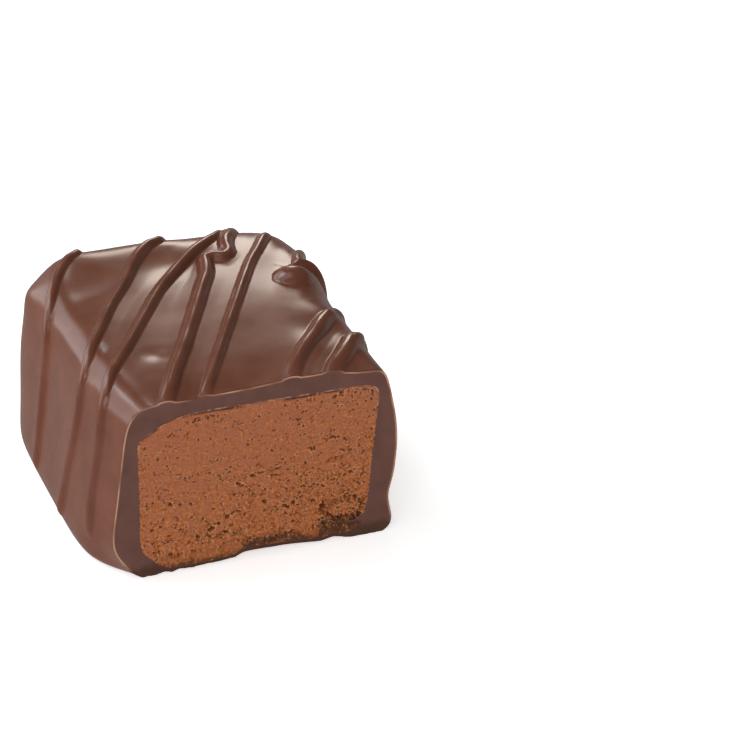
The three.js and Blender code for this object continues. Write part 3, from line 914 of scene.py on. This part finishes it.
# Up to this line, given in the same way, they are brown with chocolate.
BROWN_EDGE = [
    (-9.6, 1.6), (-7.7, 1.2), (-6, 1.05), (-1.2, 1.05), (0, 1.9), (3, 2), (4.5, 1.7), (6.2, 1.1),
    (6.5, 2.6), (9.8, 2.2), (11, 1.2),
]
smear_edge = np.interp(face[:, 0], *zip(*SMEAR_EDGE))
lowest = CENTRE_MIDDLE[2] - CENTRE_HALF[2] - FACE_OVER
below = np.clip((SMEAR_FROM - face[:, 2]) / (SMEAR_FROM - lowest), 0, 1)
face[:, 2] -= below * np.maximum(lowest - smear_edge, 0)
face[:, 0] += below * np.clip((face[:, 0] - RIGHT_FOOT) / 2, 0, 1) * SMEAR_ASIDE

# Three measures of how the face varies: quickly, slowly, and by how coarse the crumb is.
wobble = np.array([noise.noise(Vector((x * 5, 0, z * 5))) for x, _, z in face])
slow = np.array([noise.noise(Vector((x * 1.3, 4, z * 1.3))) for x, _, z in face])
coarse = np.clip([1.25 * coarseness(x, z) - 0.25 for x, _, z in face] + 0.7 * slow, 0, 1)
brown_edge = np.interp(face[:, 0], *zip(*BROWN_EDGE))
smeared = np.clip((brown_edge - face[:, 2] + 0.35 * wobble + 0.3 * slow) / 0.4, 0, 1)

torn = np.zeros(len(face))
lip = np.zeros(len(face))
for x, z, length, width, turn, depth in TEARS:
    reach = length * 2 + 0.1
    near = np.flatnonzero((np.abs(face[:, 0] - x) < reach) & (np.abs(face[:, 2] - z) < reach))
    right = face[near, 0] - x
    up = face[near, 2] - z
    along = (right * math.cos(turn) + up * math.sin(turn)) / length
    across = (up * math.cos(turn) - right * math.sin(turn)) / width
    out = np.sqrt(along**2 + across**2) * (1 + 0.6 * wobble[near])
    torn[near] = np.maximum(torn[near], depth * np.clip(1 - out**2, 0, 1) ** 0.7)
    # a rim round each pit, which stands out a little and is given a painted highlight
    lip[near] = np.maximum(lip[near], np.exp(-(((out - 1.3) / 0.25) ** 2)) * (torn[near] < 0.02))

# Wandering cracks follow the level lines of a noise, given by its size and their width in it. They are
# strings of small holes, broken off where another noise is low, and crumbs stand up along them.
CRACKS = [(Vector((0.9, 1, 0.5)), 0.06), (Vector((0.5, 1, 0.32)), 0.08)]
CRACK_DEPTH = 0.16
HOLES_EVERY = 0.17
BROKEN_EVERY = 0.8
CRUMBS = [(0.6, 0.3), (0.27, 0.7), (0.14, 0.8)]  # the crumb's noises: the size of each and its share
CRUMB_RELIEF = 0.13
FACE_WAVE = 0.05
FACE_WAVE_EVERY = 3.1
crumb = np.zeros(len(face))
cracks = np.zeros(len(face))
for i, (x, _, z) in enumerate(face):
    spot = Vector((x, 0, z))
    dotted = min(1, max(0, 0.35 + 2.6 * noise.noise(spot / HOLES_EVERY)))
    for layer, (size, width) in enumerate(CRACKS):
        level = noise.noise(Vector((x / size.x, layer * 7.3, z / size.z)))
        if abs(level) > 4 * width:
            continue
        off = noise.noise(spot / BROKEN_EVERY + Vector((0, 3 + layer, 0)))
        broken = min(1, 3.5 * (off + 0.75 * coarse[i] - 0.55))
        if broken > 0:
            cracks[i] = max(cracks[i], broken * dotted * math.exp(-((level / width) ** 2)))
            lip[i] = max(lip[i], broken * dotted * math.exp(-(((level - 2.2 * width) / width) ** 2)))
    crumb[i] = sum(part * noise.noise(spot / size) for size, part in CRUMBS)
crumb *= 0.35 + 0.75 * coarse
waves = np.array([FACE_WAVE * noise.noise(spot / FACE_WAVE_EVERY) for spot in map(Vector, face)])
relief = CRUMB_RELIEF * crumb + waves
cracks *= CRACK_DEPTH

CRUMBS_FOOT = 1.6  # below this height the crumbs lie over the coating
PROUD = 0.14  # this thick
LUMP = ((8.5, 3.25), (1.55, 0.78))  # the loose lump: its middle, and half its size
LUMP_ROUND = 0.16  # how soft its edge is
LUMP_OUT = 0.26  # how far it stands out
CREVICE = 0.5  # depth of the crevice round it
CREVICE_PLACE = 1.16  # where it runs: the lump's outline is at about 1
CREVICE_WIDTH = 0.1
CAVE = ((8.5, 1.8), (1.9, 0.65))  # what broke away under it
CAVE_ROUND = 0.25
CAVE_DEPTH = 0.22


def oval(place, half_size):
    """Distance from the middle of a rough oval on the face: 1 along its outline."""
    out = np.hypot((face[:, 0] - place[0]) / half_size[0], (face[:, 2] - place[1]) / half_size[1])
    return out - 0.3 * wobble - 0.2 * slow


lump = np.clip((1.06 - oval(*LUMP)) / LUMP_ROUND, 0, 1)
crevice = np.exp(-(((oval(*LUMP) - CREVICE_PLACE) / CREVICE_WIDTH) ** 2))
crevice *= np.clip(1 - (face[:, 2] - LUMP[0][1]) / 0.6, 0.2, 1)  # it is deepest at the lump's foot

# Along the top the centre has come away from the coating in places, which leaves a thin gap.
GAPS = [(-2.7, 1.9), (4.9, 1.4), (7.8, 0.8), (-8.3, 0.6)]  # the middle of each in x, and half its length
GAP_FROM_EDGE = 0.3
GAP_WIDTH = 0.1
GAP_DEPTH = 0.6
EDGE_DEPTH = 0.3
EDGE_RISE = 0.05  # height of the low ridge inside the edge
STANDS_OUT = 0.02  # how far the whole face stands out from the coating's

parted = np.zeros(len(face))
for middle, reach in GAPS:
    parted = np.maximum(parted, np.clip(1.3 - np.abs(face[:, 0] - middle) / reach + 0.8 * wobble, 0, 1))
parted *= (face[:, 2] > ALONG_TOP) * np.exp(-(((to_edge - GAP_FROM_EDGE - 0.05 * slow) / GAP_WIDTH) ** 2))
cave = np.clip((1.12 - oval(*CAVE)) / CAVE_ROUND, 0, 1) * (1 - lump)
edge_fall = EDGE_DEPTH * np.exp(-((to_edge / EDGE_FALL) ** 2)) * (1 + 0.9 * wobble)
edge_rise = EDGE_RISE * np.exp(-(((to_edge - 0.35) / 0.2) ** 2))
depth = torn + cracks - relief - 0.015 * lip + edge_fall - edge_rise + GAP_DEPTH * parted
depth += cave * CAVE_DEPTH * (0.6 + 1.3 * wobble) - lump * LUMP_OUT + crevice * CREVICE * (0.7 + 0.9 * wobble)
over_coating = np.clip((CRUMBS_FOOT - face[:, 2]) / 0.25, 0, 1) * np.clip(to_edge / 0.3, 0, 1)
shallow = np.where(over_coating > 0, np.minimum(depth, 0.2 * (1 - over_coating)), depth)
depth = shallow - PROUD * over_coating * (1 + wobble)
face[:, 1] = CUT + depth - STANDS_OUT

move_to(bm, face)
pit_shade_layer = bm.verts.layers.float.new("torn")
lip_highlight_layer = bm.verts.layers.float.new("lip")
smear_and_shade_layer = bm.verts.layers.float.new("smear_and_shade")
painted_light_by_height_layer = bm.verts.layers.float.new("painted_light_by_height")
coarse_layer = bm.verts.layers.float.new("coarse")
# a painted highlight along the top edge of the face; the lips of the pits and cracks get one too
edge_highlight = np.exp(-(((to_edge - 0.18) / 0.1) ** 2)) * np.clip(0.3 + 2.5 * slow, 0, 1)
edge_highlight *= face[:, 2] > ALONG_TOP
for i, v in enumerate(bm.verts):
    # painted shade in the pits, cracks and gaps, and in the crevice round the lump
    v[pit_shade_layer] = min(1, torn[i] / 0.16 + cracks[i] / CRACK_DEPTH + parted[i] + crevice[i])
    v[lip_highlight_layer] = max(lip[i], edge_highlight[i])
    # brown where the crumbs are smeared with chocolate, and painted shade in the hollow under the lump
    v[smear_and_shade_layer] = min(1, smeared[i] + 0.6 * cave[i])
    # the crumb's height, by which its low spots get painted shade and its high ones a painted highlight
    v[painted_light_by_height_layer] = min(1, max(0, 0.5 + 0.9 * crumb[i]))
    v[coarse_layer] = coarse[i]

# Its sides and back, which the coating hides: where each row lies in y, and its size as a share of the last.
SIDES = [(CUT + 0.8, 0.97), (9.0, 0.97), (10.8, 0.95), (11.5, 0.9)]
line = [e for e in bm.edges if e.is_boundary]
for y, shrink in SIDES:
    new = bmesh.ops.extrude_edge_only(bm, edges=line)["geom"]
    line = [g for g in new if isinstance(g, bmesh.types.BMEdge)]
    for v in {v for e in line for v in e.verts}:
        v.co.y = y
        v.co.x = CENTRE_MIDDLE[0] + (v.co.x - CENTRE_MIDDLE[0]) * shrink
        v.co.z = CENTRE_MIDDLE[2] + (v.co.z - CENTRE_MIDDLE[2]) * shrink
back = bmesh.ops.edgeloop_fill(bm, edges=line)["faces"]
bmesh.ops.recalc_face_normals(bm, faces=bm.faces)
bmesh.ops.triangulate(bm, faces=back)
soft_centre = new_object("soft_centre", bm)

CRUMB_PINK = (0.37, 0.125, 0.06, 1)
CRUMB_ORANGE = (0.44, 0.143, 0.045, 1)
# painted shade for the crumb's low spots, and painted highlight for its high ones
CRUMB_LOW_SHADE = (0.25, 0.066, 0.018, 1)
CRUMB_HIGH_LIT = (0.58, 0.23, 0.088, 1)
# painted shade, laid into the pits, cracks, gaps and the crevice round the lump
CRUMB_PIT_SHADE = (0.24, 0.065, 0.017, 1)
# painted highlight on the rims of the pits and cracks and along the top edge
CRUMB_HIGHLIGHT_TAN = (0.66, 0.36, 0.19, 1)
# the brown of the chocolate-smeared crumbs, which also paints the shade in the hollow under the lump
SMEAR_AND_SHADE_BROWN = (0.105, 0.042, 0.022, 1)
CRUMB_ROUGHNESS = 0.85
CRUMB_SPECULAR = 0.15

crumbly, nodes, links, shader, texture = new_finish("crumbly_centre", 1.3 * PER_MM, 1.0)
colour = mix_in(nodes, links, attribute(nodes, "coarse"), CRUMB_PINK, CRUMB_ORANGE)
# painted shade in the crumb's low spots and painted highlight on its high ones
low = spread(nodes, links, attribute(nodes, "painted_light_by_height"), 0.47, 0.0, 0, 0.85)
colour = mix_in(nodes, links, low, colour, CRUMB_LOW_SHADE)
high = spread(nodes, links, attribute(nodes, "painted_light_by_height"), 0.58, 1, 0, 0.8)
colour = mix_in(nodes, links, high, colour, CRUMB_HIGH_LIT)
# fine random specks: the light ones are painted glints of crumbs catching the light, the dark ones take the
# low-spot shade colour
glint_specks = spread(nodes, links, texture.outputs["Fine"], 0.6, 0.75, 0, 0.5)
colour = mix_in(nodes, links, glint_specks, colour, CRUMB_HIGH_LIT)
dark_specks = spread(nodes, links, texture.outputs["Fine"], 0.42, 0.28, 0, 0.6)
colour = mix_in(nodes, links, dark_specks, colour, CRUMB_LOW_SHADE)
patchy = nodes.new("ShaderNodeMath")
patchy.operation = "MULTIPLY"
links.new(attribute(nodes, "smear_and_shade"), patchy.inputs[0])
links.new(spread(nodes, links, texture.outputs["Cloud"], 0.66, 0.52, 0.35, 1), patchy.inputs[1])
colour = mix_in(nodes, links, patchy.outputs[0], colour, SMEAR_AND_SHADE_BROWN)
lip_highlights = spread(nodes, links, attribute(nodes, "lip"), 0.3, 1, 0, 0.7)
colour = mix_in(nodes, links, lip_highlights, colour, CRUMB_HIGHLIGHT_TAN)
colour = mix_in(nodes, links, attribute(nodes, "torn"), colour, CRUMB_PIT_SHADE)
links.new(colour, shader.inputs["Base Color"])
shader.inputs["Roughness"].default_value = CRUMB_ROUGHNESS
shader.inputs["Specular IOR Level"].default_value = CRUMB_SPECULAR
soft_centre.data.materials.append(crumbly)
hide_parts("meltaway_centre")
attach(soft_centre, "root")
